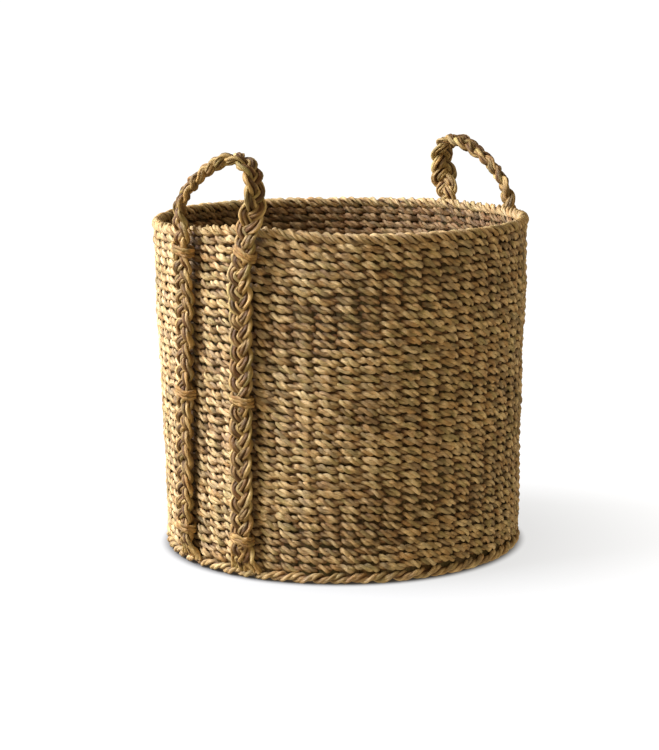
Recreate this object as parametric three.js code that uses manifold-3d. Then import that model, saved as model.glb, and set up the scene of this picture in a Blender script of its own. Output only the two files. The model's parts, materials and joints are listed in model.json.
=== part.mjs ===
// Round storage basket, twined from seagrass, with two plaited strap handles.
// Millimetres, +Z up. The origin is the middle of the underside, and the first
// handle stands at -X. Soft, fibrous pieces are plain solids with their true outer shape.
import * as THREE from 'three';
import { mergeVertices } from 'three/addons/utils/BufferGeometryUtils.js';
import Module from 'manifold-3d';

// Body
const RIM_TOP = 381;
const RIM_RADIUS = 215;
const FOOT_RADIUS = 205;
const STAKE_COUNT = 56;
const COURSE_COUNT = 13;

// Woven layers: an outer and an inner strand with the stakes between them
const STRAND_THICKNESS = 4;
const STAKE_THICKNESS = 3;
const STAKE_WIDTH = 5;
const STAKE_HUB_RADIUS = 46;
const STAKE_HUB_OVERLAP = 4;
const STAKE_TOP = 366;
const GAP = 0.3;

// Borders
const ROPE_CORNER_SHARE = 0.29;
const RIM_ROPE_HALF = 6;
const FOOT_ROPE_HEIGHT = 13;
const FOOT_ROPE_STANDOFF = 1.8;

// Handles: one strap each, up the wall, over in a loop and down again. Angles are in degrees
// round the basket, and `spread` is from the loop's middle to each leg at the rim. Both legs
// drift sideways on their way down, by `lean` in all, and by `drawIn` just below the rim.
// A loop's `crown` runs from leg to leg, as shares of half its span and heights in mm. It
// climbs gently from the first leg and comes down steeply into the second.
const HANDLES = {
  left: {
    angle: 180,
    spread: 12,
    crown: [[-1.1, 17], [-0.93, 36], [-0.47, 57], [0, 70], [0.42, 78], [0.85, 76], [1.17, 57], [1.15, 28]],
  },
  right: {
    angle: -12.5,
    spread: 13.5,
    crown: [[-0.94, 15], [-0.76, 30], [-0.41, 46], [0, 58], [0.42, 68], [0.86, 72], [1.14, 56], [1.1, 28]],
  },
};
const LEGS = {
  first: { side: -1, lean: 8, drawIn: 0 },
  second: { side: 1, lean: 3.5, drawIn: 3.4 },
};
const DRAW_IN_BOTTOM = 335;
const DRAW_IN_TOP = 372;
const LEG_BENDS = [120, 260, 325];
const STRAP_WIDTH = 29;
const STRAP_THICKNESS = 15;
const STRAP_CORNER = { across: 0.6, flat: 0.4 };
const STRAP_WALL_GAP = 0.5;
const STRAP_RIM_LIFT = 2.8;
const HINGE_Z = RIM_TOP;
const LEG_BOTTOM = 15.5;
const LEG_TOP = HINGE_Z - STRAP_THICKNESS / 2 - GAP;
const LOOP_STEPS = 24;
const LOOP_END_TURNS = [-75, -50, -25];

// Where a loop's strap turns flat side up and back again, as shares of the loop's length.
// It first turns a little, by EASE_SHARE of the whole, and then the rest of the way.
const EASE_START = 0.03;
const EASE_END = 0.15;
const EASE_SHARE = 0.53;
const FLATTEN_START = 0.22;
const FLATTEN_END = 0.42;
const FOLD_START = 0.78;
const FOLD_END = 0.98;
const TURN_OUT_BOTTOM = 300;

// Lashings that tie the straps to the wall, by height
const LASHING_HEIGHTS = { bottom: 47, middle: 201, top: 359 };
const LASHING_HEIGHT = 11;
const LASHING_THICKNESS = 3.5;
const LASHING_FOOT_GAP = 1.5;
const LASHING_CORNER = 0.5;
const TURN_OUT_TOP = LASHING_HEIGHTS.top - LASHING_HEIGHT / 2;

const radians = THREE.MathUtils.degToRad;
const FACET = Math.cos(Math.PI / STAKE_COUNT);
const LAYER_PITCH = STRAND_THICKNESS + STAKE_THICKNESS + 2 * GAP;
const WALL_THICKNESS = LAYER_PITCH + STRAND_THICKNESS;
const MERGE_DISTANCE = 1e-4;

const wasm = await Module();
wasm.setup();

const materials = {
  weft: [0xb58e5a, 0.85],
  rim: [0xa98650, 0.85],
  foot: [0xa98650, 0.85],
  base: [0x9c7a4a, 0.9],
  stake: [0x7d5f38, 0.9],
  strap: [0xc2a46c, 0.8],
  lashing: [0xb99a62, 0.8],
};

function addMesh(group, name, geometry, kind) {
  const [color, roughness] = materials[kind];
  const material = new THREE.MeshStandardMaterial({ color, roughness, metalness: 0 });
  const mesh = new THREE.Mesh(geometry, material);
  mesh.name = name;
  group.add(mesh);
  return mesh;
}

// The wall leans out evenly from the foot to the rim.
function wallRadius(z) {
  return FOOT_RADIUS + (RIM_RADIUS - FOOT_RADIUS) * z / RIM_TOP;
}

// Turns an outline of [radius, z] points about the Z axis, one facet for each stake.
function turned(outline, closed = true) {
  const points = outline.map(([r, z]) => new THREE.Vector2(r, z));
  if (closed) points.push(points[0].clone());
  return new THREE.LatheGeometry(points, STAKE_COUNT).rotateX(Math.PI / 2);
}

// A conical ring that follows the wall, `depth` inside its outer surface.
function wallRing(z0, z1, depth) {
  return turned([
    [wallRadius(z0) - depth, z0],
    [wallRadius(z1) - depth, z1],
    [wallRadius(z1) - depth - STRAND_THICKNESS, z1],
    [wallRadius(z0) - depth - STRAND_THICKNESS, z0],
  ]);
}

function disc(z0, z1, radius) {
  return turned([[0, z0], [radius, z0], [radius, z1], [0, z1]], false);
}

// A ring whose section is a rectangle with cut corners.
function borderRing(inner, outer, z0, z1) {
  const cut = ROPE_CORNER_SHARE * Math.min(outer - inner, z1 - z0);
  return turned([
    [inner + cut, z0],
    [outer - cut, z0],
    [outer, z0 + cut],
    [outer, z1 - cut],
    [outer - cut, z1],
    [inner + cut, z1],
    [inner, z1 - cut],
    [inner, z0 + cut],
  ]);
}

function toSolid(geometry) {
  const bare = geometry.clone();
  bare.deleteAttribute('normal');
  bare.deleteAttribute('uv');
  const merged = mergeVertices(bare, MERGE_DISTANCE);
  const mesh = new wasm.Mesh({
    numProp: 3,
    vertProperties: new Float32Array(merged.attributes.position.array),
    triVerts: new Uint32Array(merged.index.array),
  });
  return new wasm.Manifold(mesh);
}

function fromSolid(solid) {
  const mesh = solid.getMesh();
  const geometry = new THREE.BufferGeometry();
  geometry.setAttribute('position', new THREE.BufferAttribute(mesh.vertProperties, 3));
  geometry.setIndex(new THREE.BufferAttribute(mesh.triVerts, 1));
  return geometry;
}

// The frame that the weft is twined on: spokes across the base that turn up the wall.
function stakeFrame() {
  const z0 = STRAND_THICKNESS + GAP;
  const z1 = z0 + STAKE_THICKNESS;
  const outerAt = (z) => (wallRadius(z) - STRAND_THICKNESS) * FACET - GAP;
  const innerAt = (z) => (wallRadius(z) - LAYER_PITCH) * FACET + GAP;
  const start = STAKE_HUB_RADIUS - STAKE_HUB_OVERLAP;
  const outline = [
    [start, z0],
    [outerAt(z0), z0],
    [outerAt(STAKE_TOP), STAKE_TOP],
    [innerAt(STAKE_TOP), STAKE_TOP],
    [innerAt(z1), z1],
    [start, z1],
  ];
  const shape = new THREE.Shape(outline.map(([r, z]) => new THREE.Vector2(r, z)));
  const stake = new THREE.ExtrudeGeometry(shape, { depth: STAKE_WIDTH, bevelEnabled: false });
  stake.translate(0, 0, -STAKE_WIDTH / 2).rotateX(Math.PI / 2);
  let solid = toSolid(disc(z0, z1, STAKE_HUB_RADIUS));
  for (let i = 0; i < STAKE_COUNT; i += 1) {
    const turn = 2 * Math.PI * (i + 0.5) / STAKE_COUNT;
    solid = solid.add(toSolid(stake.clone().rotateZ(turn)));
  }
  return fromSolid(solid);
}

// Bends a straight bar, extruded along Z from 0 to 1, so that its section at u sits in placeAt(u):
// an origin with the directions across the strap, out of its face and the section's scale.
function bent(bar, placeAt) {
  const position = bar.attributes.position;
  const point = new THREE.Vector3();
  for (let i = 0; i < position.count; i += 1) {
    const place = placeAt(position.getZ(i));
    point.copy(place.origin);
    point.addScaledVector(place.across, position.getX(i));
    point.addScaledVector(place.out, position.getY(i) * (place.thin ?? 1));
    position.setXYZ(i, point.x, point.y, point.z);
  }
  bar.computeVertexNormals();
  return bar;
}

function strapBar(steps) {
  const w = STRAP_WIDTH / 2;
  const t = STRAP_THICKNESS / 2;
  const flat = w - STRAP_CORNER.across * t;
  const edge = STRAP_CORNER.flat * t;
  const corners = [[w, -edge], [w, edge], [flat, t], [-flat, t]];
  corners.push([-w, edge], [-w, -edge], [-flat, -t], [flat, -t]);
  const shape = new THREE.Shape(corners.map(([x, y]) => new THREE.Vector2(x, y)));
  return new THREE.ExtrudeGeometry(shape, { depth: 1, steps, bevelEnabled: false });
}

function heading(degrees) {
  return new THREE.Vector3(Math.cos(radians(degrees)), Math.sin(radians(degrees)), 0);
}

// Where a strap's leg lies at height z: it drifts sideways on its way down, and below
// the top lashing it stands off a little and turns square to the handle's loop.
function legPlace(handle, leg, z) {
  const { side, lean, drawIn } = LEGS[leg];
  const rise = THREE.MathUtils.smoothstep(z, TURN_OUT_BOTTOM, TURN_OUT_TOP);
  const drawn = 1 - THREE.MathUtils.smoothstep(z, DRAW_IN_BOTTOM, DRAW_IN_TOP);
  const drift = -lean * (1 - z / RIM_TOP) - drawIn * drawn;
  const angle = handle.angle + side * handle.spread + drift;
  const radius = wallRadius(z) + STRAP_WALL_GAP + STRAP_THICKNESS / 2 + STRAP_RIM_LIFT * rise;
  const origin = heading(angle).multiplyScalar(radius).setZ(z);
  const out = heading(angle - side * handle.spread * rise);
  const across = new THREE.Vector3(out.y, -out.x, 0);
  return { origin, across, out };
}

// A leg has a section at each edge of its lashings, so that the lashings fit it exactly.
function strapLeg(handle, leg) {
  const heights = [LEG_BOTTOM, LEG_TOP, TURN_OUT_BOTTOM, ...LEG_BENDS];
  for (const middle of Object.values(LASHING_HEIGHTS)) {
    heights.push(middle - LASHING_HEIGHT / 2, middle + LASHING_HEIGHT / 2);
  }
  heights.sort((a, b) => a - b);
  const steps = heights.length - 1;
  const placeAt = (u) => legPlace(handle, leg, heights[Math.round(u * steps)]);
  return bent(strapBar(steps), placeAt);
}

// Middle line of a loop in its own plane: along the rim, then height above the hinge line.
function loopCurve(halfSpan, crown) {
  const points = [[-1, 0], ...crown, [1, 0]];
  const knots = points.map(([share, z]) => new THREE.Vector3(share * halfSpan, 0, z));
  return new THREE.CatmullRomCurve3(knots);
}

// The loop's strap is flat to the wall at both legs and turns flat side up over the top.
// Each end is rounded about the hinge line, so that it can tilt over the leg below it.
function strapLoop(handle) {
  const out = heading(handle.angle);
  const along = new THREE.Vector3(-out.y, out.x, 0);
  const up = new THREE.Vector3(0, 0, 1);
  const { centre, halfSpan } = hingeLine(handle);
  const curve = loopCurve(halfSpan, handle.crown);
  const round = STRAP_THICKNESS / 2;
  const endTurns = LOOP_END_TURNS.map(radians);
  const ends = endTurns.length;
  const steps = LOOP_STEPS + 2 * ends;
  const placeAt = (u) => {
    const step = Math.round(u * steps);
    const fromEnd = Math.min(step, steps - step);
    const side = step < steps / 2 ? -1 : 1;
    if (fromEnd < ends) {
      const drop = endTurns[fromEnd];
      const origin = centre.clone().addScaledVector(along, side * halfSpan);
      origin.addScaledVector(up, round * Math.sin(drop));
      const across = along.clone().multiplyScalar(side);
      return { origin, across, out, thin: Math.cos(drop) };
    }
    const t = (step - ends) / LOOP_STEPS;
    const flat = curve.getPointAt(t);
    const slope = curve.getTangentAt(t);
    const tangent = along.clone().multiplyScalar(slope.x).addScaledVector(up, slope.z);
    const outside = along.clone().multiplyScalar(-slope.z).addScaledVector(up, slope.x);
    const ease = EASE_SHARE * THREE.MathUtils.smoothstep(t, EASE_START, EASE_END);
    const flatten = (1 - EASE_SHARE) * THREE.MathUtils.smoothstep(t, FLATTEN_START, FLATTEN_END);
    const fold = THREE.MathUtils.smoothstep(t, FOLD_START, FOLD_END);
    const stand = radians(90) * (1 - ease - flatten + fold);
    const face = outside.multiplyScalar(Math.cos(stand)).addScaledVector(out, Math.sin(stand));
    const origin = centre.clone().addScaledVector(along, flat.x).addScaledVector(up, flat.z);
    return { origin, across: new THREE.Vector3().crossVectors(face, tangent), out: face };
  };
  return bent(strapBar(steps), placeAt);
}

// The line that a loop tilts about runs through the middle of both strap legs at rim height.
function hingeLine(handle) {
  const radius = wallRadius(HINGE_Z) + STRAP_WALL_GAP + STRAP_THICKNESS / 2 + STRAP_RIM_LIFT;
  const halfSpan = radius * Math.sin(radians(handle.spread));
  const centre = heading(handle.angle).multiplyScalar(radius * Math.cos(radians(handle.spread)));
  return { centre: centre.setZ(HINGE_Z), halfSpan };
}

// A band that goes over the strap and down both its sides to the wall.
function lashing(handle, leg, middle) {
  const inner = STRAP_WIDTH / 2 + GAP;
  const outer = inner + LASHING_THICKNESS;
  const face = STRAP_THICKNESS / 2 + GAP;
  const top = face + LASHING_THICKNESS;
  const foot = LASHING_FOOT_GAP - STRAP_WALL_GAP - STRAP_THICKNESS / 2;
  const corner = LASHING_CORNER * LASHING_THICKNESS;
  const outline = [
    [-outer, foot],
    [-inner, foot],
    [-inner, face],
    [inner, face],
    [inner, foot],
    [outer, foot],
    [outer, top - corner],
    [outer - corner, top],
    [corner - outer, top],
    [-outer, top - corner],
  ];
  const shape = new THREE.Shape(outline.map(([x, y]) => new THREE.Vector2(x, y)));
  const bar = new THREE.ExtrudeGeometry(shape, { depth: 1, steps: 1, bevelEnabled: false });
  const placeAt = (u) => legPlace(handle, leg, middle + (u - 0.5) * LASHING_HEIGHT);
  return bent(bar, placeAt);
}

const basket = new THREE.Group();

const footInner = FOOT_RADIUS - STRAND_THICKNESS;
const floorRadius = FOOT_RADIUS - WALL_THICKNESS - GAP;
addMesh(basket, 'base_underside', disc(0, STRAND_THICKNESS, footInner - GAP), 'base');
addMesh(basket, 'stake_frame', stakeFrame(), 'stake');
addMesh(basket, 'base_floor', disc(LAYER_PITCH, WALL_THICKNESS, floorRadius), 'base');

const footOuter = FOOT_RADIUS + FOOT_ROPE_STANDOFF;
addMesh(basket, 'foot_border', borderRing(footInner, footOuter, 0, FOOT_ROPE_HEIGHT), 'foot');

// Outside, the courses stand on the foot rope. Inside, the lowest one reaches down to the
// spokes and closes round the floor.
const wallBottom = FOOT_ROPE_HEIGHT + GAP;
const wallTop = RIM_TOP - 2 * RIM_ROPE_HALF - GAP;
const coursePitch = (wallTop + GAP - wallBottom) / COURSE_COUNT;
for (let i = 0; i < COURSE_COUNT; i += 1) {
  const z0 = wallBottom + i * coursePitch;
  const z1 = z0 + coursePitch - GAP;
  const innerZ0 = i === 0 ? LAYER_PITCH : z0;
  addMesh(basket, `wall_course_${i + 1}_outer_weft`, wallRing(z0, z1, 0), 'weft');
  addMesh(basket, `wall_course_${i + 1}_inner_weft`, wallRing(innerZ0, z1, LAYER_PITCH), 'weft');
}

const rimMiddle = RIM_RADIUS - WALL_THICKNESS / 2;
const rimInner = rimMiddle - RIM_ROPE_HALF;
const rimOuter = rimMiddle + RIM_ROPE_HALF;
const rimRope = borderRing(rimInner, rimOuter, RIM_TOP - 2 * RIM_ROPE_HALF, RIM_TOP);
addMesh(basket, 'rim_border', rimRope, 'rim');

for (const [name, handle] of Object.entries(HANDLES)) {
  const group = new THREE.Group();
  basket.add(group);
  addMesh(group, `${name}_handle_loop`, strapLoop(handle), 'strap');
  for (const leg of Object.keys(LEGS)) {
    addMesh(group, `${name}_handle_${leg}_leg`, strapLeg(handle, leg), 'strap');
    for (const [place, middle] of Object.entries(LASHING_HEIGHTS)) {
      const band = lashing(handle, leg, middle);
      addMesh(group, `${name}_${leg}_${place}_lashing`, band, 'lashing');
    }
  }
}

export default basket;
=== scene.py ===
"""Seagrass storage basket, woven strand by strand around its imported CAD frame.

Lengths are in metres, as the frame's are. MM turns millimetres into metres, and a name
that ends in _MM holds plain millimetres.
"""
import json
import math
import bpy
import numpy as np
from mathutils import Matrix, Vector


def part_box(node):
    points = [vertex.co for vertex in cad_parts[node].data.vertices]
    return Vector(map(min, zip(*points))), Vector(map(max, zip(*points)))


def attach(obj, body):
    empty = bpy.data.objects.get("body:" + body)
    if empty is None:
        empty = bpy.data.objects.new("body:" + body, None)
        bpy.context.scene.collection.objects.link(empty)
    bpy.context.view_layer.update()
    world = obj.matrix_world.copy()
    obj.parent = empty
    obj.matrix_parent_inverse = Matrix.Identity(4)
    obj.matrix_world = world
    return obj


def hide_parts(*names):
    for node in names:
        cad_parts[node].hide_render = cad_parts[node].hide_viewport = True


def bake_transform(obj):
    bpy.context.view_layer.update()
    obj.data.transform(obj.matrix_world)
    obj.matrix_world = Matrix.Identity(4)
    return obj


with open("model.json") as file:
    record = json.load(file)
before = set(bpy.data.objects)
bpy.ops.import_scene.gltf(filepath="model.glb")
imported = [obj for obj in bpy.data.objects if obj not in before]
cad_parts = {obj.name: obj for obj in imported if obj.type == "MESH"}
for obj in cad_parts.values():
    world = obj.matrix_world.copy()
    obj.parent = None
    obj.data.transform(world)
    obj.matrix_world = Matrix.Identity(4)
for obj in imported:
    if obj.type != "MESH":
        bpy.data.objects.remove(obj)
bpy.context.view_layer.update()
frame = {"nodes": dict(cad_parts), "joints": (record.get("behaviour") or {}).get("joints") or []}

MM = 0.001

# ---------------------------------------------------------------- sizes from the frame
RIM_LOW, RIM_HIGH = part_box("rim_border")
FOOT_LOW, FOOT_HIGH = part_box("foot_border")
RIM_TOP = RIM_HIGH.z
COURSES = sum(1 for name in frame["nodes"] if name.endswith("_outer_weft"))
JOINTS = {joint["name"]: joint for joint in frame["joints"]}

# ---------------------------------------------------------------- driving dimensions
STAKES = 56
ROWS_PER_COURSE = 3
WALL_THICKNESS = 11.6 * MM
BASE_THICKNESS = 11.6 * MM
SAMPLES_PER_STAKE = 10
RING_SAMPLES = STAKES * SAMPLES_PER_STAKE
ROPE_SAMPLES = STAKES * 20

# The top of the wall is pulled up round the left handle, and most at the rim
PULL_ANGLE = math.radians(186)
PULL_WIDTH = math.radians(21)
PULL_HEIGHT = 8.5 * MM
PULL_BELOW_RIM = (110 * MM, 6 * MM)

# Handles. Side -1 is a handle's first leg and side 1 its second. A crown runs from leg to
# leg over the loop, as shares of half its span and heights in millimetres.
LEG_SPREAD = {"left": math.radians(12), "right": math.radians(13.5)}
LEG_LEAN = {-1: math.radians(8), 1: math.radians(3.5)}
LEG_DRAW_IN = {-1: 0.0, 1: math.radians(3.4)}
SECOND_LEG_INSET = {"left": math.radians(1.3), "right": 0.0}
CROWN = {
    "left": [
        (-1.1, 17), (-0.93, 36), (-0.47, 57), (0, 70),
        (0.42, 78), (0.84, 76), (1.13, 57), (1.09, 28),
    ],
    "right": [
        (-0.94, 15), (-0.76, 30), (-0.41, 46), (0, 58),
        (0.42, 68), (0.86, 72), (1.14, 56), (1.1, 28),
    ],
}
LEG_STANDOFF = 6.6 * MM
HINGE_STANDOFF = 10.8 * MM

# Heights between which a leg turns square to its loop, draws in, tucks in and fans out
TURN_OUT = (300 * MM, 353.5 * MM)
DRAW_IN = (335 * MM, 372 * MM)
TUCK = (8 * MM, 30 * MM)
FAN = (8 * MM, 42 * MM)

PLAIT_STRANDS = 3
PLAIT_PITCH = 50 * MM
SECOND_CLIMB_SWELL = {"left": 0.0, "right": 0.28}
PLAIT_HALF_WIDTH = 8.2 * MM
PLAIT_HALF_THICKNESS = 3.1 * MM
STRAP_STEP = 2.2 * MM

# ---------------------------------------------------------------- colours and lights
# Colours as linear reflectances
STRAW = np.array([0.540, 0.350, 0.140])
CREAM = np.array([0.740, 0.560, 0.300])
OLIVE = np.array([0.370, 0.300, 0.110])
RUST = np.array([0.460, 0.210, 0.055])
MAUVE = np.array([0.460, 0.330, 0.205])
# Painted shade: the dark crevice colour that strands darken towards where they lie deep
PAINTED_CREVICE_SHADE = np.array([0.26, 0.17, 0.10])
STRAP_TINT = np.array([0.85, 0.82, 0.66])
LASHING_TINT = np.array([0.82, 0.75, 0.58])

# How far a strand drifts from straw towards each colour, and how its brightness follows
OLIVE_SHARE = 0.45
RUST_SHARE = 0.36
MAUVE_SHARE = 0.34
CREAM_SHARE = 0.34
HUE_LIMIT = 1.6
CREAM_LIMIT = 2.2
BRIGHTNESS_SHARE = 0.20
BRIGHTNESS_LIMITS = (-2.6, 1.2)

# The floor glows white; near the basket and round its foot that glow is turned down as painted shadow
FLOOR_ALBEDO = 0.135
FLOOR_GLOW_IN_PAINTED_SHADOW = 0.75
PAINTED_FLOOR_SHADOW_REACH = (0.22, 0.45)
PAINTED_CONTACT_SHADOW_GLOW = 0.02
PAINTED_CONTACT_SHADOW_REACH = (-8 * MM, 9 * MM)

KEY_BEARING = math.radians(-83)
KEY_ELEVATION = math.radians(36)
KEY_DISTANCE = 2.5
KEY_SIZE = (2.0, 1.6)
KEY_AIM_HEIGHT = 0.2
KEY_POWER = 175
KEY_COLOUR = (0.97, 1.0, 1.10)
WORLD_STRENGTH = 0.63
ZENITH_SHARE = 0.35
WORLD_COLOUR = (1.0, 0.87, 0.64, 1)

CAMERA_HEADING = math.radians(216.7)
CAMERA_DISTANCE = 2.338
CAMERA_HEIGHT = 0.6237
CAMERA_PITCH = 0.1823
CAMERA_ROLL = -0.0087
CAMERA_SENSOR = 36
CAMERA_FOCAL_SHARE = 2.732
CAMERA_SHIFT = -0.0163

# Each part draws its own random numbers, so a change to one leaves the others as they were
SEED = 41
PART_SEEDS = {
    "wall": 1, "row": 2, "rim": 3, "foot": 4,
    "base": 5, "stakes": 6, "strap": 7, "lashing": 8,
}


# ---------------------------------------------------------------- small tools
def smoothstep(x, low, high):
    t = np.clip((x - low) / (high - low), 0, 1)
    return t * t * (3 - 2 * t)


def mix(a, b, share):
    return a + (b - a) * share


def unit(vectors):
    return vectors / np.linalg.norm(vectors, axis=-1, keepdims=True)


def heading(angle):
    """Level directions at angles round the basket."""
    return np.stack([np.cos(angle), np.sin(angle), np.zeros_like(angle)], axis=-1)


def upright(count):
    return np.repeat(np.array([[0.0, 0.0, 1.0]]), count, axis=0)


def random_for(part, *key):
    return np.random.default_rng([SEED, PART_SEEDS[part], *key])


def name_key(name):
    """A number for a name, to draw random numbers with."""
    return sum(map(ord, name))


def ring_noise(rng, bumps, samples=RING_SAMPLES):
    """Smooth random values that close on themselves, with mean 0 and deviation 1."""
    spectrum = np.zeros(samples // 2 + 1, complex)
    count = min(bumps, samples // 2)
    spectrum[1:count] = rng.normal(size=count - 1) + 1j * rng.normal(size=count - 1)
    values = np.fft.irfft(spectrum, samples)
    return values / values.std()


def strand_colour(rng, samples, bumps, pale=0.0, green=0.0, spread=1.0):
    """Colour along one strand: straw that drifts between cream, olive, rust and mauve."""
    tone = ring_noise(rng, bumps, samples) * spread + pale
    hue = ring_noise(rng, bumps // 2 + 2, samples) * spread + green
    blush = ring_noise(rng, bumps // 2 + 2, samples) * spread
    colour = np.repeat(STRAW[None, :], samples, axis=0)
    for other, share, drift, limit in (
        (OLIVE, OLIVE_SHARE, hue, HUE_LIMIT),
        (RUST, RUST_SHARE, -hue, HUE_LIMIT),
        (MAUVE, MAUVE_SHARE, blush, HUE_LIMIT),
        (CREAM, CREAM_SHARE, tone, CREAM_LIMIT),
    ):
        colour = mix(colour, other, (share * np.clip(drift, 0, limit))[:, None])
    return colour * (1 + BRIGHTNESS_SHARE * np.clip(tone, *BRIGHTNESS_LIMITS))[:, None]


def unshaded(points):
    """Crevice shading for a strand that has none."""
    return np.ones(points.shape[:2])


# ---------------------------------------------------------------- mesh building
class Strands:
    """Collects tubes, with their colours and fibre coordinates, into one mesh."""

    def __init__(self):
        self.points = []
        self.colours = []
        self.fibres = []
        self.quads = []
        self.caps = []
        self.count = 0

    def add_tube(self, centres, side, lift, half_side, half_lift, colour, shade,
                 sides=6, closed=True, groove=0.0, twist=None, start=0.0):
        """One tube. side and lift span its section, and shade(points) paints shade into the colour of its
        crevices.
        """
        n = len(centres)
        angle = 2 * np.pi * np.arange(sides) / sides
        turn = np.zeros(n) if twist is None else twist
        round_section = angle[None, :] - turn[:, None]
        lobes = 1 + groove * np.cos(2 * round_section)
        across = half_side[:, None] * np.cos(angle)[None, :] * lobes
        up = half_lift[:, None] * np.sin(angle)[None, :] * lobes
        points = centres[:, None, :] + side[:, None, :] * across[..., None]
        points = points + lift[:, None, :] * up[..., None]
        steps = np.linalg.norm(np.diff(centres, axis=0), axis=1)
        along = np.concatenate([[0.0], np.cumsum(steps)]) + start
        fibre = np.empty((n, sides, 3))
        fibre[..., 0] = along[:, None] / MM
        fibre[..., 1] = np.cos(round_section) * half_side[:, None] / MM
        fibre[..., 2] = np.sin(round_section) * half_lift[:, None] / MM
        # Painted shade: the colour darkens towards the crevice colour where shade(points) falls towards 0
        colour_and_painted_shade = colour[:, None, :] * mix(PAINTED_CREVICE_SHADE, np.ones(3), shade(points)[..., None])
        forward = centres[1] - centres[0]
        right_handed = float(np.dot(np.cross(side[0], lift[0]), forward)) > 0
        self._add_faces(n, sides, closed, right_handed)
        self.points.append(points.reshape(-1, 3))
        self.colours.append(colour_and_painted_shade.reshape(-1, 3))
        self.fibres.append(fibre.reshape(-1, 3))
        self.count += n * sides

    def _add_faces(self, n, sides, closed, right_handed):
        rings = np.arange(n if closed else n - 1)
        ring_next = (rings + 1) % n
        j = np.arange(sides)
        j_next = (j + 1) % sides
        corners = (
            rings[:, None] * sides + j[None, :],
            rings[:, None] * sides + j_next[None, :],
            ring_next[:, None] * sides + j_next[None, :],
            ring_next[:, None] * sides + j[None, :],
        )
        order = corners if right_handed else corners[::-1]
        self.quads.append(np.stack(order, axis=-1).reshape(-1, 4) + self.count)
        if not closed:
            self._add_cap(0, sides, not right_handed)
            self._add_cap((n - 1) * sides, sides, right_handed)

    def _add_cap(self, first, sides, forwards):
        corners = [self.count + first + k for k in range(sides)]
        self.caps.append(corners if forwards else corners[::-1])

    def build(self, name, material, body, nodes):
        """Makes the object, which stands for the named CAD nodes and rides on a body, if any."""
        points = np.concatenate(self.points)
        quads = np.concatenate(self.quads)
        loops = [quads.reshape(-1)] + [np.array(cap) for cap in self.caps]
        corners = np.concatenate(loops).astype(np.int32)
        sizes = np.concatenate([np.full(len(quads), 4), [len(cap) for cap in self.caps]])
        sizes = sizes.astype(np.int32)
        starts = np.concatenate([[0], np.cumsum(sizes)[:-1]]).astype(np.int32)
        rgba = np.concatenate([np.concatenate(self.colours), np.ones((len(points), 1))], axis=1)
        mesh = bpy.data.meshes.new(name)
        mesh.vertices.add(len(points))
        mesh.vertices.foreach_set("co", points.astype(np.float32).reshape(-1))
        mesh.loops.add(len(corners))
        mesh.loops.foreach_set("vertex_index", corners)
        mesh.polygons.add(len(sizes))
        mesh.polygons.foreach_set("loop_start", starts)
        mesh.polygons.foreach_set("use_smooth", np.ones(len(sizes), bool))
        colour_and_painted_shade = mesh.attributes.new("colour_and_painted_shade", "FLOAT_COLOR", "POINT")
        colour_and_painted_shade.data.foreach_set("color", rgba.astype(np.float32).reshape(-1))
        fibre = mesh.attributes.new("fibre", "FLOAT_VECTOR", "POINT")
        fibres = np.concatenate(self.fibres).astype(np.float32)
        fibre.data.foreach_set("vector", fibres.reshape(-1))
        mesh.update(calc_edges=True)
        mesh.validate()
        mesh.materials.append(material)
        piece = bpy.data.objects.new(name, mesh)
        bpy.context.scene.collection.objects.link(piece)
        if body:
            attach(piece, body)
        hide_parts(*nodes)
        return piece


# ---------------------------------------------------------------- materials
NOISE_SPAN = (0.28, 0.72)
FINE_SHARE = 0.7
SPOT_DARK_SHARE = 0.5
SPOT_PALE_SHARE = 0.3
ROUGHNESS_DRIFT = 0.12


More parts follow.
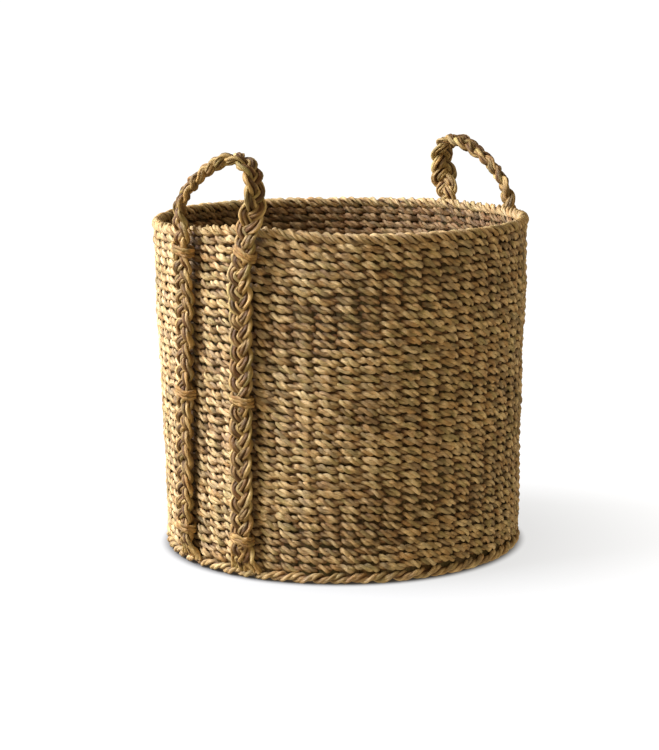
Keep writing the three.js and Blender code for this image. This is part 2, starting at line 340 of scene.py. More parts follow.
def fibre_material(name, roughness, streak, bump, gloss):
    """Dry plant fibre: its colour, painted crevice shade included, comes with the strand. Streaks and
    ridges run along it.
    """
    material = bpy.data.materials.new(name)
    material.use_nodes = True
    nodes = material.node_tree.nodes
    links = material.node_tree.links
    nodes.clear()
    output = nodes.new("ShaderNodeOutputMaterial")
    shader = nodes.new("ShaderNodeBsdfPrincipled")
    colour_and_painted_shade = nodes.new("ShaderNodeAttribute")
    colour_and_painted_shade.attribute_name = "colour_and_painted_shade"
    fibre = nodes.new("ShaderNodeAttribute")
    fibre.attribute_name = "fibre"

    def stretched_noise(along, around, detail):
        scale = nodes.new("ShaderNodeMapping")
        scale.inputs["Scale"].default_value = (along, around, around)
        noise = nodes.new("ShaderNodeTexNoise")
        noise.inputs["Scale"].default_value = 1.0
        noise.inputs["Detail"].default_value = detail
        noise.inputs["Roughness"].default_value = 0.6
        links.new(fibre.outputs["Vector"], scale.inputs["Vector"])
        links.new(scale.outputs["Vector"], noise.inputs["Vector"])
        return noise.outputs["Fac"]

    def spread(value, low, high):
        remap = nodes.new("ShaderNodeMapRange")
        remap.inputs["From Min"].default_value = NOISE_SPAN[0]
        remap.inputs["From Max"].default_value = NOISE_SPAN[1]
        remap.inputs["To Min"].default_value = low
        remap.inputs["To Max"].default_value = high
        links.new(value, remap.inputs["Value"])
        return remap.outputs["Result"]

    def times(a, b):
        product = nodes.new("ShaderNodeMath")
        product.operation = "MULTIPLY"
        links.new(a, product.inputs[0])
        links.new(b, product.inputs[1])
        return product.outputs["Value"]

    broad = stretched_noise(along=0.07, around=0.55, detail=2.0)
    fine = stretched_noise(along=0.14, around=1.9, detail=3.0)
    spots = stretched_noise(along=0.35, around=0.5, detail=2.0)
    broad_streaks = spread(broad, 1 - streak, 1 + streak)
    fine_streaks = spread(fine, 1 - FINE_SHARE * streak, 1 + FINE_SHARE * streak)
    strength = times(broad_streaks, fine_streaks)
    spotting = spread(spots, 1 - SPOT_DARK_SHARE * streak, 1 + SPOT_PALE_SHARE * streak)
    strength = times(strength, spotting)
    scale = nodes.new("ShaderNodeVectorMath")
    scale.operation = "SCALE"
    links.new(colour_and_painted_shade.outputs["Color"], scale.inputs[0])
    links.new(strength, scale.inputs["Scale"])
    links.new(scale.outputs["Vector"], shader.inputs["Base Color"])
    dryness = spread(broad, roughness + ROUGHNESS_DRIFT, roughness - ROUGHNESS_DRIFT)
    links.new(dryness, shader.inputs["Roughness"])
    shader.inputs["Specular IOR Level"].default_value = gloss
    ridges = nodes.new("ShaderNodeBump")
    ridges.inputs["Strength"].default_value = 1.0
    ridges.inputs["Distance"].default_value = bump
    links.new(times(broad, fine), ridges.inputs["Height"])
    links.new(ridges.outputs["Normal"], shader.inputs["Normal"])
    links.new(shader.outputs["BSDF"], output.inputs["Surface"])
    return material


MATERIALS = {
    "weft": fibre_material("seagrass_weft", 0.60, 0.34, 1.5 * MM, 0.35),
    "rim": fibre_material("seagrass_rim_rope", 0.60, 0.34, 1.5 * MM, 0.35),
    "foot": fibre_material("seagrass_foot_rope", 0.60, 0.34, 1.5 * MM, 0.35),
    "base": fibre_material("seagrass_base", 0.68, 0.30, 1.4 * MM, 0.30),
    "stake": fibre_material("seagrass_stakes_and_shade_sheets", 0.85, 0.30, 0.8 * MM, 0.06),
    "strap": fibre_material("seagrass_straps", 0.58, 0.32, 1.5 * MM, 0.36),
    "lashing": fibre_material("seagrass_lashings", 0.60, 0.32, 1.5 * MM, 0.36),
}


# ---------------------------------------------------------------- where the wall and legs are
def wall_line():
    """The wall's outer radius at any height, from its lowest and highest courses."""
    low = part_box("wall_course_1_outer_weft")[1]
    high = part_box(f"wall_course_{COURSES}_outer_weft")[1]
    slope = (high.y - low.y) / (high.z - low.z)
    return lambda z: low.y + slope * (z - low.z)


wall_radius = wall_line()
RING_ANGLE = 2 * np.pi * np.arange(RING_SAMPLES) / RING_SAMPLES
OUT = heading(RING_ANGLE)
UP = upright(RING_SAMPLES)

WAVE_COUNTS = (2, 3, 5, 7)
WAVE_TURNS = (1.5, 3.2)
WAVE_RISE = 0.50 * MM
WAVE_BULGE = 0.42 * MM


def on_ring(radius, height, angle=RING_ANGLE):
    return np.stack([radius * np.cos(angle), radius * np.sin(angle), height], axis=-1)


def rim_lift(angle, z):
    """How far the top of the wall is pulled up round the left handle."""
    away = np.mod(angle - PULL_ANGLE + np.pi, 2 * np.pi) - np.pi
    near_rim = smoothstep(z, RIM_TOP - PULL_BELOW_RIM[0], RIM_TOP - PULL_BELOW_RIM[1])
    return PULL_HEIGHT * np.exp(-(away / PULL_WIDTH) ** 2) * near_rim


def wall_wave(z):
    """The slow unevenness of a hand-made wall: how far a row at z rises and stands out."""
    rise = np.zeros(RING_SAMPLES)
    bulge = np.zeros(RING_SAMPLES)
    rng = random_for("wall")
    for waves in WAVE_COUNTS:
        for turns in WAVE_TURNS:
            phase, tilt = rng.uniform(0, 2 * np.pi, 2)
            level = turns * 2 * np.pi * z / RIM_TOP
            rise += WAVE_RISE * np.sin(waves * RING_ANGLE + level + phase) / math.sqrt(waves)
            bulge += WAVE_BULGE * np.sin(waves * RING_ANGLE - level + tilt) / math.sqrt(waves)
    return rise + rim_lift(RING_ANGLE, z), bulge


def hinge_centre(handle):
    return np.array(JOINTS[f"{handle}_handle_tilt"]["pos_m"], float)


def handle_heading(handle):
    centre = hinge_centre(handle)
    return math.atan2(centre[1], centre[0])


def leg_angle(handle, side, heights):
    """How far round the basket a strap's leg stands at each height."""
    drawn = 1 - smoothstep(heights, *DRAW_IN)
    lean = LEG_LEAN[side] * (1 - heights / RIM_TOP)
    inset = SECOND_LEG_INSET[handle] * (side > 0) * (1 - drawn)
    top = handle_heading(handle) + side * LEG_SPREAD[handle]
    return top - lean - LEG_DRAW_IN[side] * drawn - inset


# Painted shade on the wall's colour: beside the strap legs, over the inside face and deep in the crevices
LEG_SHADOW = (10 * MM, 19 * MM)
FACE_BLEND = 0.4
INSIDE_SHADE = 0.70
LEG_SHADE = 0.6
CREVICE_SPAN = (0.03, 0.74)


def under_legs(points):
    """1 on the wall close behind a strap's leg, where little light comes, and 0 elsewhere."""
    round_wall = np.arctan2(points[..., 1], points[..., 0])
    covered = np.zeros(round_wall.shape)
    for handle in LEG_SPREAD:
        for side in (-1, 1):
            away = round_wall - leg_angle(handle, side, points[..., 2])
            away = np.abs(np.mod(away + np.pi, 2 * np.pi) - np.pi) * wall_radius(points[..., 2])
            covered = np.maximum(covered, 1 - smoothstep(away, *LEG_SHADOW))
    return covered


def wall_shade(points):
    """Painted shade for the wall's colour: 0 deep between the strands and 1 on the wall's two faces, with
    the inside face darkened all over and the outside face darkened close behind the strap legs.
    """
    radius = np.hypot(points[..., 0], points[..., 1])
    middle = wall_radius(points[..., 2]) - WALL_THICKNESS / 2
    out = (radius - middle) / (WALL_THICKNESS / 2)
    inside = smoothstep(-out, 0.0, FACE_BLEND)
    outside = smoothstep(out, 0.0, FACE_BLEND)
    # Painted shade: the inside face is darkened, and so is the outside face close behind a leg
    open_to_light = (1 - INSIDE_SHADE * inside) * (1 - LEG_SHADE * outside * under_legs(points))
    return smoothstep(np.abs(out), *CREVICE_SPAN) * open_to_light


ROW_WANDER = 0.26 * MM
STITCH_DRIFT = 0.30
CORD_REACH = 2.55 * MM
CORD_SQUARENESS = 0.55
CORD_RISE = 1.9 * MM
PLY_REACH = 1.05 * MM
PLY_RISE_MM = 1.25
PLY_RISE_SWELL_MM = 1.0
PLY_HALF_DEPTH = 1.72 * MM
PLY_HALF_HEIGHT_MM = 1.86
PLY_SWELL_MM = 0.62


def twined_row(strands, z, row):
    """One row of the wall: two cords of two plies each, which swap sides between stakes."""
    rng = random_for("row", row)
    rise, bulge = wall_wave(z)
    middle = wall_radius(z) - WALL_THICKNESS / 2
    level = z + rise + ROW_WANDER * ring_noise(rng, 20)
    shift = STITCH_DRIFT * ring_noise(rng, 9) + STITCH_DRIFT * ring_noise(rng, STAKES)
    for cord in range(2):
        swing = RING_ANGLE * STAKES / 2 + cord * np.pi + shift
        reach = CORD_REACH * (1 + 0.15 * ring_noise(rng, STAKES))
        front = np.abs(np.cos(swing))
        radius = middle + bulge + reach * np.sign(np.cos(swing)) * front ** CORD_SQUARENESS
        height = level - CORD_RISE * np.sin(swing)
        drift = np.pi / 2 + 0.45 * ring_noise(rng, 40)
        cord_colour = strand_colour(rng, RING_SAMPLES, 45, pale=rng.normal(0, 0.2), spread=0.9)
        fat = 1 + 0.07 * ring_noise(rng, STAKES)
        for ply in range(2):
            turn = RING_ANGLE * STAKES + ply * np.pi + drift
            stacked = np.abs(np.cos(turn))
            ply_radius = radius + PLY_REACH * np.cos(turn)
            ply_height = height - (PLY_RISE_MM + PLY_RISE_SWELL_MM * front) * MM * np.sin(turn)
            colour = mix(cord_colour, strand_colour(rng, RING_SAMPLES, 90, spread=1.7), 0.7)
            rough = 1 + 0.08 * ring_noise(rng, 3 * STAKES)
            half_height = PLY_HALF_HEIGHT_MM + PLY_SWELL_MM * front + PLY_SWELL_MM * stacked
            strands.add_tube(
                on_ring(ply_radius, ply_height),
                OUT,
                UP,
                PLY_HALF_DEPTH * fat * rough,
                half_height * MM * fat * rough,
                colour,
                wall_shade,
                twist=0.6 * turn,
                start=rng.uniform(0, 5),
            )


def build_wall():
    for course in range(1, COURSES + 1):
        outer = f"wall_course_{course}_outer_weft"
        inner = f"wall_course_{course}_inner_weft"
        low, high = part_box(outer)
        pitch = (high.z - low.z) / ROWS_PER_COURSE
        strands = Strands()
        for row in range(ROWS_PER_COURSE):
            twined_row(strands, low.z + (row + 0.5) * pitch, course * ROWS_PER_COURSE + row)
        strands.build(f"wall_rows_{course}", MATERIALS["weft"], "basket", [outer, inner])


# Painted shade for a rope's colour: darker towards the rope's middle, deep between its strands
def rope_shade(middle_radius, middle_height, size):
    def shade(points):
        radius = np.hypot(points[..., 0], points[..., 1]) - middle_radius
        away = np.hypot(radius, points[..., 2] - middle_height)
        return smoothstep(away, 0.35 * size, 0.85 * size)
    return shade


def lay_rope(name, material, node, rng, shape, shade):
    """A rope round the basket, of strands that are each twisted from plies."""
    samples = ROPE_SAMPLES
    angle = 2 * np.pi * np.arange(samples) / samples
    strands = Strands()
    rise, bulge = wall_wave(shape["level"])
    wave = np.interp(angle, RING_ANGLE, rise) * shape["wave"]
    swell = np.interp(angle, RING_ANGLE, bulge) * shape["wave"]
    for strand in range(shape["strands"]):
        turn = shape["turns"] * angle + strand * 2 * np.pi / shape["strands"]
        turn = turn + 0.22 * ring_noise(rng, 34, samples)
        radius = shape["radius"] + swell + shape["helix"] * np.cos(turn)
        height = shape["level"] + wave - shape["hand"] * shape["rise"] * np.sin(turn)
        base_colour = strand_colour(rng, samples, 60, pale=shape["pale"], spread=0.9)
        fat = 1 + 0.07 * ring_noise(rng, 60, samples)
        for ply in range(shape["plies"]):
            lay = shape["ply_turns"] * angle + ply * 2 * np.pi / shape["plies"]
            lay = lay + 0.3 * ring_noise(rng, 20, samples)
            out = radius + shape["ply_helix"] * np.cos(lay)
            up = height - shape["hand"] * shape["ply_helix"] * np.sin(lay)
            strands.add_tube(
                on_ring(out, up, angle),
                heading(angle),
                upright(samples),
                shape["half"] * fat,
                shape["half"] * fat,
                mix(base_colour, strand_colour(rng, samples, 120, pale=shape["pale"]), 0.55),
                shade,
                start=rng.uniform(0, 5),
            )
    strands.build(name, material, "basket", [node])


def build_rim():
    """Three strands, twisted steeply, that close the top of the wall."""
    half = (RIM_HIGH.z - RIM_LOW.z) / 2
    shape = {
        "radius": RIM_HIGH.y - half,
        "level": (RIM_LOW.z + RIM_HIGH.z) / 2 - 1.2 * MM,
        "wave": 1.0,
        "strands": 3,
        "turns": 34,
        "hand": 1,
        "helix": 2.9 * MM,
        "rise": 3.4 * MM,
        "plies": 2,
        "ply_turns": 68,
        "ply_helix": 1.2 * MM,
        "half": 2.35 * MM,
        "pale": -0.1,
    }
    lay_rope("rim_rope", MATERIALS["rim"], "rim_border", random_for("rim"), shape,
             rope_shade(shape["radius"], shape["level"], half))


def build_foot():
    """Two heavy strands that twist the other way, one stitch to each stake."""
    half = (FOOT_HIGH.z - FOOT_LOW.z) / 2
    shape = {
        "radius": FOOT_HIGH.y - 6.2 * MM,
        "level": half - 0.2 * MM,
        "wave": 0.0,
        "strands": 2,
        "turns": STAKES // 2,
        "hand": -1,
        "helix": 2.6 * MM,
        "rise": 2.5 * MM,
        "plies": 2,
        "ply_turns": STAKES,
        "ply_helix": 1.25 * MM,
        "half": 2.75 * MM,
        "pale": -0.15,
    }
    lay_rope("foot_rope", MATERIALS["foot"], "foot_border", random_for("foot"), shape,
             rope_shade(shape["radius"], shape["level"], half))


# ---------------------------------------------------------------- base
BASE_RING_PITCH = 9.2 * MM
BASE_RING_MARGIN = 1.5 * MM
BASE_HOLE = 3 * MM
BASE_CORD_RISE = 2.6 * MM
BASE_PLY_RISE = 0.8 * MM
BASE_CORD_REACH_MM = 2.15
BASE_PLY_REACH_MM = 0.95
BASE_PLY_HALF_WIDTH_MM = 1.75
BASE_PLY_HALF_HEIGHT = 1.7 * MM
SPOKE_STARTS = (8 * MM, 107 * MM, 52 * MM, 107 * MM)
STAKE_BEND = 4 * MM
# The standing stakes are wide, thin dark sheets: painted shade behind the wall's gaps
SHADE_SHEET_HALF_WIDTH = 12.3 * MM
SHADE_SHEET_HALF_THICKNESS = 0.45 * MM


def spokes_at(radius):
    """Spokes join in towards the middle, so the inner rings have fewer stitches."""
    if radius > 105 * MM:
        return STAKES
    return STAKES // 2 if radius > 50 * MM else STAKES // 4


# Painted shade for the base's colour: darker towards its middle plane, deep between its strands
def base_shade(points):
    out = np.abs(points[..., 2] - BASE_THICKNESS / 2) / (BASE_THICKNESS / 2)
    return smoothstep(out, 0.15, 0.85)


def build_base():
    """Rings of the same twining, laid flat round the spokes."""
    outermost = wall_radius(0) - WALL_THICKNESS - BASE_RING_MARGIN
    strands = Strands()
    ring = 0
    radius = outermost
    while radius > BASE_HOLE:
        rng = random_for("base", ring)
        stitches = spokes_at(radius)
        samples = max(32, stitches * 7)
        angle = 2 * np.pi * np.arange(samples) / samples
        wobble = 0.3 * MM * ring_noise(rng, 6, samples)
        for cord in range(2):
            swing = angle * stitches / 2 + cord * np.pi + 0.15 * ring_noise(rng, stitches, samples)
            cord_colour = strand_colour(rng, samples, 20, spread=0.7)
            front = np.abs(np.cos(swing))
            for ply in range(2):
                turn = angle * stitches + ply * np.pi + rng.uniform(0, 6)
                height = BASE_THICKNESS / 2 + BASE_CORD_RISE * np.cos(swing) + BASE_PLY_RISE * np.cos(turn)
                out = (BASE_PLY_REACH_MM + 0.7 * front) * np.sin(turn)
                out = out + BASE_CORD_REACH_MM * np.sin(swing)
                half_side = (BASE_PLY_HALF_WIDTH_MM + 0.75 * front) * MM
                strands.add_tube(
                    on_ring(radius + wobble + out * MM, height, angle),
                    heading(angle),
                    upright(samples),
                    half_side,
                    np.full(samples, BASE_PLY_HALF_HEIGHT),
                    mix(cord_colour, strand_colour(rng, samples, 40), 0.5),
                    base_shade,
                    sides=5,
                    start=rng.uniform(0, 5),
                )
        radius -= BASE_RING_PITCH
        ring += 1
    strands.build("base_mat", MATERIALS["base"], "basket", ["base_underside", "base_floor"])


def build_stakes_and_shade_sheets():
    """Spokes under the base, darkened as painted shade, which turn up at the foot as flat, thin,
    near-black stakes: wide sheets that fill the gaps of the wall with painted shade.
    """
    rng = random_for("stakes")
    bend = STAKE_BEND
    level = BASE_THICKNESS / 2
    corner = wall_radius(0) - WALL_THICKNESS / 2
    top = RIM_LOW.z + 5 * MM
    strands = Strands()
    for stake in range(STAKES):
        angle = 2 * np.pi * stake / STAKES
        start = SPOKE_STARTS[stake % len(SPOKE_STARTS)]
        out = np.linspace(start, corner - bend, 10)
        arc = np.linspace(0, np.pi / 2, 5)[1:-1]
        heights = np.linspace(level + bend, top, 22)
        turned = corner - bend + bend * np.sin(arc)
        upwards = wall_radius(heights) - WALL_THICKNESS / 2
        radius = np.concatenate([out, turned, upwards])
        height = np.concatenate([np.full(10, level), level + bend - bend * np.cos(arc), heights])
        outwards = np.array([np.cos(angle), np.sin(angle), 0.0])
        standing = smoothstep(height, 3 * MM, 12 * MM)
        radius = radius - 0.2 * MM * standing
        height = height + rim_lift(angle, height)
        centres = radius[:, None] * outwards + height[:, None] * np.array([0, 0, 1.0])
        tangent = unit(np.gradient(centres, axis=0))
        across = np.repeat(np.array([[-np.sin(angle), np.cos(angle), 0.0]]), len(centres), axis=0)
        half_width = mix(np.interp(radius, [0.06, 0.19], [2.0 * MM, 5.2 * MM]), SHADE_SHEET_HALF_WIDTH, standing)
        strands.add_tube(
            centres,
            across,
            np.cross(tangent, across),
            half_width,
            mix(1.5 * MM, SHADE_SHEET_HALF_THICKNESS, standing),
            # Painted shade: the spokes are darkened to 0.55 of their colour, the standing sheets to 0.14
            strand_colour(rng, len(centres), 12) * mix(0.55, 0.14, standing)[:, None],
            unshaded,
            closed=False,
            start=rng.uniform(0, 5),
        )
    strands.build("stakes", MATERIALS["stake"], "basket", ["stake_frame"])


# ---------------------------------------------------------------- handles
def leg_line(handle, side, heights):
    """Middle line and outward direction of a strap's leg, from its lowest point up."""
    rise = smoothstep(heights, *TURN_OUT)
    tuck = 1 - smoothstep(heights, *TUCK)
    angle = leg_angle(handle, side, heights)
    stand = mix(LEG_STANDOFF, HINGE_STANDOFF, rise) - tuck * (LEG_STANDOFF + 2.5 * MM)
    middle = (wall_radius(heights) + stand)[:, None] * heading(angle)
    middle[:, 2] = heights
    return middle, heading(angle - side * LEG_SPREAD[handle] * rise)


def smooth_curve(points, count):
    """A centripetal Catmull-Rom curve through the points, at evenly spaced lengths."""
    points = np.array(points, float)
    before = 2 * points[0] - points[1]
    after = 2 * points[-1] - points[-2]
    padded = np.concatenate([[before], points, [after]])
    dense = []
    for i in range(len(points) - 1):
        p = padded[i:i + 4]
        spans = np.linalg.norm(np.diff(p, axis=0), axis=1) ** 0.5
        knots = np.concatenate([[0], np.cumsum(spans)])
        t = np.linspace(knots[1], knots[2], 40, endpoint=False)[:, None]
        a = [
            ((knots[k + 1] - t) * p[k] + (t - knots[k]) * p[k + 1]) / (knots[k + 1] - knots[k])
            for k in range(3)
        ]
        b = [
            ((knots[k + 2] - t) * a[k] + (t - knots[k]) * a[k + 1]) / (knots[k + 2] - knots[k])
            for k in range(2)
        ]
        dense.append(((knots[2] - t) * b[0] + (t - knots[1]) * b[1]) / (knots[2] - knots[1]))
    dense = np.concatenate(dense + [points[-1:]])
    return resampled(dense, count)


def resampled(line, count, *others):
    """The line, and anything that goes with its points, at evenly spaced lengths."""
    steps = np.linalg.norm(np.diff(line, axis=0), axis=1)
    lengths = np.concatenate([[0], np.cumsum(steps)])
    at = np.linspace(0, lengths[-1], count)
    results = [
        np.stack([np.interp(at, lengths, each[:, k]) for k in range(3)], axis=-1)
        for each in (line, *others)
    ]
    return results[0] if not others else results


def loop_line(handle, half_span):
    """Middle line and face direction of the loop above the rim."""
    centre = hinge_centre(handle)
    foot = 1 - SECOND_LEG_INSET[handle] / LEG_SPREAD[handle]
    outline = [(-1, 0), *CROWN[handle], (foot, 0)]
    count = 120
    flat = smooth_curve([(s * half_span, 0, z * MM) for s, z in outline], count)
    out = heading(np.array(handle_heading(handle)))
    along = np.array([-out[1], out[0], 0])
    middle = centre + flat[:, :1] * along + flat[:, 2:] * np.array([0, 0, 1.0])
    tangent = unit(np.gradient(middle, axis=0))
    outside = np.cross(tangent, out)
    t = np.linspace(0, 1, count)
    ease = 0.53 * smoothstep(t, 0.03, 0.15) + 0.47 * smoothstep(t, 0.22, 0.42)
    stand = (1 - ease + smoothstep(t, 0.78, 0.98)) * np.pi / 2
    face = outside * -np.cos(stand)[:, None] + out * np.sin(stand)[:, None]
    return middle, face


def strap_line(handle):
    """The whole strap of one handle: up its first leg, over the loop and down its second."""
    half_span = (wall_radius(RIM_TOP) + HINGE_STANDOFF) * math.sin(LEG_SPREAD[handle])
    heights = np.linspace(TUCK[0] - 1 * MM, RIM_TOP - 1 * MM, 180)
    first, first_face = leg_line(handle, -1, heights)
    second, second_face = leg_line(handle, 1, heights)
    loop, loop_face = loop_line(handle, half_span)
    line = np.concatenate([first, loop, second[::-1]])
    face = np.concatenate([first_face, loop_face, second_face[::-1]])
    length = np.linalg.norm(np.diff(line, axis=0), axis=1).sum()
    line, face = resampled(line, int(length / STRAP_STEP), face)
    kernel = np.hanning(9)[1:-1]
    kernel /= kernel.sum()
    for values in (line, face):
        padded = np.pad(values, ((3, 3), (0, 0)), mode="edge")
        for k in range(3):
            values[:, k] = np.convolve(padded[:, k], kernel, mode="valid")
    tangent = unit(np.gradient(line, axis=0))
    face = unit(face - (face * tangent).sum(1, keepdims=True) * tangent)
    return line, tangent, face


def lashing_nodes(handle):
    return sorted(n for n in frame["nodes"] if n.startswith(handle) and n.endswith("_lashing"))


def nearest_on_leg(line, node):
    """The index of the strap's point at the middle of a lashing."""
    low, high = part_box(node)
    middle = np.array((low + high) / 2)
    return int(np.argmin(np.linalg.norm(line - middle, axis=1)))


# What narrows a plait, and over how much of its length
LASHING_PINCH = 0.26
LASHING_PINCH_REACH = 9 * MM
CLIMB_PINCH = 0.34
FIRST_LEG_PINCH = 0.10
NECK = 45 * MM
# The five cords of a strand, as places across and above its middle line
BUNDLE_MM = [(-3.8, 0.0), (0.0, 1.3), (3.8, 0.0), (-1.9, -1.8), (1.9, -1.8)]
STRAP_CORD_HALF_WIDTH = 2.20 * MM
STRAP_CORD_HALF_HEIGHT = 2.05 * MM
# Distances from a strand's middle line over which the strap's painted crevice shade fades out
STRAP_CREVICE = (2.7 * MM, 5.4 * MM)
FAN_HALF_WIDTH_MM = 19


def build_strap(handle):
    """A flat plait of three strands, each a bundle of cords, whose ends fan out at the foot."""
    rng = random_for("strap", name_key(handle))
    line, tangent, face = strap_line(handle)
    across = np.cross(face, tangent)
    n = len(line)
    along = np.arange(n) * STRAP_STEP
    pinch = np.ones(n)
    for node in lashing_nodes(handle):
        away = (np.arange(n) - nearest_on_leg(line, node)) * STRAP_STEP
        pinch *= 1 - LASHING_PINCH * np.exp(-(away / LASHING_PINCH_REACH) ** 2)
    crest = int(np.argmax(line[:, 2]))
    climb = smoothstep(line[:, 2], RIM_TOP - NECK, RIM_TOP - 5 * MM) * (np.arange(n) < crest)
    climb_ends = (crest - NECK / STRAP_STEP, crest - 8 * MM / STRAP_STEP)
    climb = climb * (1 - smoothstep(np.arange(n), *climb_ends))
    pinch *= 1 - CLIMB_PINCH * climb
    pinch *= 1 - FIRST_LEG_PINCH * (np.arange(n) < crest) * (line[:, 2] < RIM_TOP - NECK)
    drop = smoothstep(line[:, 2], RIM_TOP - 4 * MM, RIM_TOP + 14 * MM)
    drop = drop * smoothstep(np.arange(n), crest, crest + 8)
    pinch *= 1 + SECOND_CLIMB_SWELL[handle] * drop
    fan = 1 - smoothstep(line[:, 2], *FAN)
    middle_cord = (PLAIT_STRANDS * len(BUNDLE_MM) - 1) // 2
    strands = Strands()
    width = 1 + 0.05 * ring_noise(rng, 12, n)
    for strand in range(PLAIT_STRANDS):
        phase = 2 * np.pi * along / PLAIT_PITCH + strand * 2 * np.pi / PLAIT_STRANDS
        phase = phase + 0.12 * ring_noise(rng, 14, n)
        x = PLAIT_HALF_WIDTH * width * pinch * np.sin(phase)
        y = -PLAIT_HALF_THICKNESS * np.sin(2 * phase)
        path = line + across * x[:, None] + face * y[:, None]
        heading_on = unit(np.gradient(path, axis=0))
        sideways = unit(np.cross(face, heading_on))
        outward = np.cross(heading_on, sideways)
        roll = 0.35 * np.sin(phase + 0.6) + 0.15 * ring_noise(rng, 10, n)
        for cord, (off, up) in enumerate(BUNDLE_MM):
            shift = (off * np.cos(roll) - up * np.sin(roll)) * MM * pinch
            lift = (off * np.sin(roll) + up * np.cos(roll)) * MM
            centres = path + sideways * shift[:, None] + outward * lift[:, None]
            loose = 0.45 * MM * ring_noise(rng, 34, n)
            centres = centres + sideways * loose[:, None]
            place = (strand + PLAIT_STRANDS * cord - middle_cord) / middle_cord
            spread = place * FAN_HALF_WIDTH_MM * MM
            fanned = line + across * (spread + 1.0 * MM * ring_noise(rng, 30, n))[:, None]
            fanned = fanned + face * rng.uniform(-1.2, 1.6) * MM
            centres = mix(centres, fanned, fan[:, None])
            cord_heading = unit(np.gradient(centres, axis=0))
            cord_side = unit(np.cross(outward, cord_heading))
            cord_lift = np.cross(cord_heading, cord_side)
            fat = 1 + 0.10 * ring_noise(rng, 60, n)

            # Painted shade: a cord's colour is darker where it lies close to its strand's middle line,
            # inside the bundle
            def shade(points, path=path):
                away = np.linalg.norm(points - path[:, None, :], axis=-1)
                return smoothstep(away, *STRAP_CREVICE)

            strands.add_tube(
                centres,
                cord_side,
                cord_lift,
                STRAP_CORD_HALF_WIDTH * fat,
                STRAP_CORD_HALF_HEIGHT * fat,
                strand_colour(rng, n, 60, pale=0.05, green=0.2, spread=0.8) * STRAP_TINT,
                shade,
                sides=8,
                closed=False,
                groove=0.20,
                twist=along / (4.2 * MM) + rng.uniform(0, 6),
                start=rng.uniform(0, 5),
            )
    nodes = [f"{handle}_handle_{part}" for part in ("loop", "first_leg", "second_leg")]
    strap = strands.build(f"{handle}_strap", MATERIALS["strap"], None, nodes)
    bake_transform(strap)
    return line, tangent, face


LASHING_TURNS = 3
LASHING_PITCH_MM = 3.3
LASHING_OUTER_DEPTH = 7.0 * MM
LASHING_INNER_DEPTH = 9.5 * MM
LASHING_HALF_WIDTH_MM = 11.0
LASHING_SQUARENESS = 0.8
LASHING_CORD_HALF_WIDTH = 1.95 * MM
LASHING_CORD_HALF_HEIGHT = 1.8 * MM


def build_lashings(handle, line, tangent, face):
    """Turns of cord, wrapped tight round the strap and drawn into the wall behind it."""
    for index, node in enumerate(lashing_nodes(handle)):
        rng = random_for("lashing", index, name_key(handle))
        at = nearest_on_leg(line, node)
        across = np.cross(face[at], tangent[at])
        strands = Strands()
        for turn in range(LASHING_TURNS):
            samples = 44
            angle = 2 * np.pi * np.arange(samples) / samples
            c = np.cos(angle)
            s = np.sin(angle)
            deep = np.where(s > 0, LASHING_OUTER_DEPTH, LASHING_INNER_DEPTH)
            deep = deep * np.sign(s) * np.abs(s) ** LASHING_SQUARENESS
            splay = 1 + 0.16 * smoothstep(-s, -0.3, 0.7)
            wide = (LASHING_HALF_WIDTH_MM + rng.uniform(-0.3, 0.6)) * MM
            wide = wide * np.sign(c) * np.abs(c) ** LASHING_SQUARENESS * splay
            tilt = 0.20 + rng.uniform(-0.05, 0.05)
            offset = (turn - (LASHING_TURNS - 1) / 2) * LASHING_PITCH_MM * MM
            offset = offset + rng.uniform(-0.3, 0.3) * MM
            run = offset + wide * tilt + 0.3 * MM * ring_noise(rng, 6, samples)
            centres = line[at] + wide[:, None] * across + deep[:, None] * face[at]
            centres = centres + run[:, None] * tangent[at]
            forward = unit(np.roll(centres, -1, axis=0) - np.roll(centres, 1, axis=0))
            side = np.repeat(tangent[at][None, :], samples, axis=0)
            side = unit(side - (side * forward).sum(1, keepdims=True) * forward)
            fat = 1 + 0.08 * ring_noise(rng, 12, samples)
            strands.add_tube(
                centres,
                side,
                np.cross(forward, side),
                LASHING_CORD_HALF_WIDTH * fat,
                LASHING_CORD_HALF_HEIGHT * fat,
                strand_colour(rng, samples, 8, pale=-0.5, green=-0.6, spread=0.7) * LASHING_TINT,
                unshaded,
                sides=8,
                groove=0.17,
                twist=4 * angle,
                start=rng.uniform(0, 5),
            )
        strands.build(f"{node}_cord", MATERIALS["lashing"], "basket", [node])


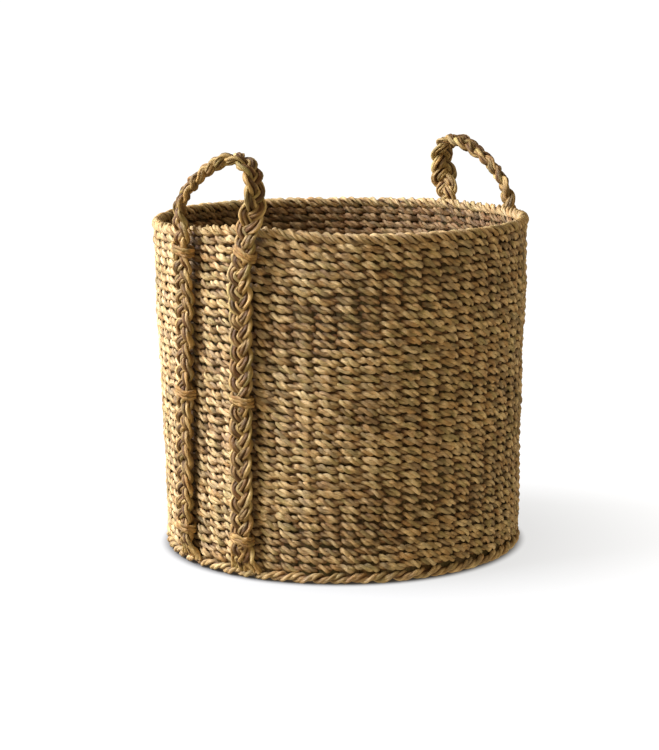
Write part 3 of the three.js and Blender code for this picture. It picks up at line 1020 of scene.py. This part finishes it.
# ---------------------------------------------------------------- stage, light and camera
def build_stage():
    """A pale floor that sweeps up into a backdrop all round. It glows white far out, is dimmed near the
    basket as a painted shadow and goes almost dark round the foot as a painted contact shadow.
    """
    flat = 4.5
    curve = 2.5
    height = 5.0
    sectors = 96
    bend = np.linspace(0, np.pi / 2, 13)
    inner = [0.0, 0.4, 1.0, 2.0, 3.2]
    radii = np.concatenate([inner, flat + curve * np.sin(bend), [flat + curve]])
    levels = np.concatenate([np.zeros(len(inner)), curve - curve * np.cos(bend), [height]])
    angle = 2 * np.pi * np.arange(sectors) / sectors
    points = [(0.0, 0.0, 0.0)]
    for radius, level in zip(radii[1:], levels[1:]):
        points += [(radius * math.cos(a), radius * math.sin(a), level) for a in angle]
    faces = [(0, 1 + k, 1 + (k + 1) % sectors) for k in range(sectors)]
    for ring in range(len(radii) - 2):
        low = 1 + ring * sectors
        high = 1 + (ring + 1) * sectors
        faces += [
            (low + k, high + k, high + (k + 1) % sectors, low + (k + 1) % sectors)
            for k in range(sectors)
        ]
    mesh = bpy.data.meshes.new("studio_floor")
    mesh.from_pydata(points, [], faces)
    mesh.polygons.foreach_set("use_smooth", [True] * len(faces))
    floor = bpy.data.objects.new("studio_floor", mesh)
    bpy.context.scene.collection.objects.link(floor)
    floor.visible_diffuse = False
    floor.visible_glossy = False
    material = bpy.data.materials.new("studio_white")
    material.use_nodes = True
    nodes = material.node_tree.nodes
    links = material.node_tree.links
    shader = nodes["Principled BSDF"]
    shader.inputs["Base Color"].default_value = (FLOOR_ALBEDO, FLOOR_ALBEDO, FLOOR_ALBEDO, 1)
    shader.inputs["Roughness"].default_value = 1.0
    shader.inputs["Specular IOR Level"].default_value = 0.0
    shader.inputs["Emission Color"].default_value = (1, 1, 1, 1)
    place = nodes.new("ShaderNodeNewGeometry")
    away = nodes.new("ShaderNodeVectorMath")
    away.operation = "LENGTH"
    # Painted shadow: the floor's glow falls from 1 far out to 0.75 near the basket
    glow = nodes.new("ShaderNodeMapRange")
    glow.inputs["From Min"].default_value = PAINTED_FLOOR_SHADOW_REACH[0]
    glow.inputs["From Max"].default_value = PAINTED_FLOOR_SHADOW_REACH[1]
    glow.inputs["To Min"].default_value = FLOOR_GLOW_IN_PAINTED_SHADOW
    glow.inputs["To Max"].default_value = 1.0
    links.new(place.outputs["Position"], away.inputs[0])
    links.new(away.outputs["Value"], glow.inputs["Value"])
    # Painted contact shadow: the floor's glow all but goes out round the foot and under the basket
    contact = nodes.new("ShaderNodeMapRange")
    contact.interpolation_type = "SMOOTHSTEP"
    contact.inputs["From Min"].default_value = FOOT_HIGH.y + PAINTED_CONTACT_SHADOW_REACH[0]
    contact.inputs["From Max"].default_value = FOOT_HIGH.y + PAINTED_CONTACT_SHADOW_REACH[1]
    contact.inputs["To Min"].default_value = PAINTED_CONTACT_SHADOW_GLOW
    contact.inputs["To Max"].default_value = 1.0
    links.new(away.outputs["Value"], contact.inputs["Value"])
    both = nodes.new("ShaderNodeMath")
    both.operation = "MULTIPLY"
    links.new(glow.outputs["Result"], both.inputs[0])
    links.new(contact.outputs["Result"], both.inputs[1])
    links.new(both.outputs["Value"], shader.inputs["Emission Strength"])
    mesh.materials.append(material)


def aim(position, target):
    return (Vector(target) - Vector(position)).to_track_quat("-Z", "Y").to_euler()


def build_camera():
    data = bpy.data.cameras.new("camera")
    camera = bpy.data.objects.new("camera", data)
    bpy.context.scene.collection.objects.link(camera)
    data.sensor_width = CAMERA_SENSOR
    data.lens = CAMERA_SENSOR * CAMERA_FOCAL_SHARE
    data.shift_x = CAMERA_SHIFT
    place = Vector((math.cos(CAMERA_HEADING), math.sin(CAMERA_HEADING), 0)) * CAMERA_DISTANCE
    place.z = CAMERA_HEIGHT
    turn = Matrix.Rotation(CAMERA_HEADING + math.pi / 2, 4, "Z")
    tip = Matrix.Rotation(math.pi / 2 - CAMERA_PITCH, 4, "X")
    roll = Matrix.Rotation(CAMERA_ROLL, 4, "Z")
    camera.matrix_world = Matrix.Translation(place) @ turn @ tip @ roll
    bpy.context.scene.camera = camera


def build_key():
    """A soft panel to the camera's left, aimed at the middle of the wall."""
    data = bpy.data.lights.new("key", "AREA")
    data.shape = "RECTANGLE"
    data.size, data.size_y = KEY_SIZE
    data.energy = KEY_POWER
    data.color = KEY_COLOUR
    light = bpy.data.objects.new("key", data)
    bpy.context.scene.collection.objects.link(light)
    angle = CAMERA_HEADING + KEY_BEARING
    flat = KEY_DISTANCE * math.cos(KEY_ELEVATION)
    height = KEY_DISTANCE * math.sin(KEY_ELEVATION) + KEY_AIM_HEIGHT
    light.location = (flat * math.cos(angle), flat * math.sin(angle), height)
    light.rotation_euler = aim(light.location, (0, 0, KEY_AIM_HEIGHT))


def build_lights():
    build_key()
    world = bpy.data.worlds.new("studio")
    world.use_nodes = True
    nodes = world.node_tree.nodes
    links = world.node_tree.links
    background = nodes["Background"]
    background.inputs["Color"].default_value = WORLD_COLOUR
    direction = nodes.new("ShaderNodeTexCoord")
    parts = nodes.new("ShaderNodeSeparateXYZ")
    fade = nodes.new("ShaderNodeMapRange")
    fade.inputs["To Min"].default_value = WORLD_STRENGTH
    fade.inputs["To Max"].default_value = WORLD_STRENGTH * ZENITH_SHARE
    links.new(direction.outputs["Generated"], parts.inputs["Vector"])
    links.new(parts.outputs["Z"], fade.inputs["Value"])
    links.new(fade.outputs["Result"], background.inputs["Strength"])
    bpy.context.scene.world = world
    bpy.context.scene.view_settings.view_transform = "Standard"


build_camera()
build_stage()
build_lights()
build_wall()
build_rim()
build_foot()
build_base()
build_stakes_and_shade_sheets()
for handle in ("left", "right"):
    build_lashings(handle, *build_strap(handle))
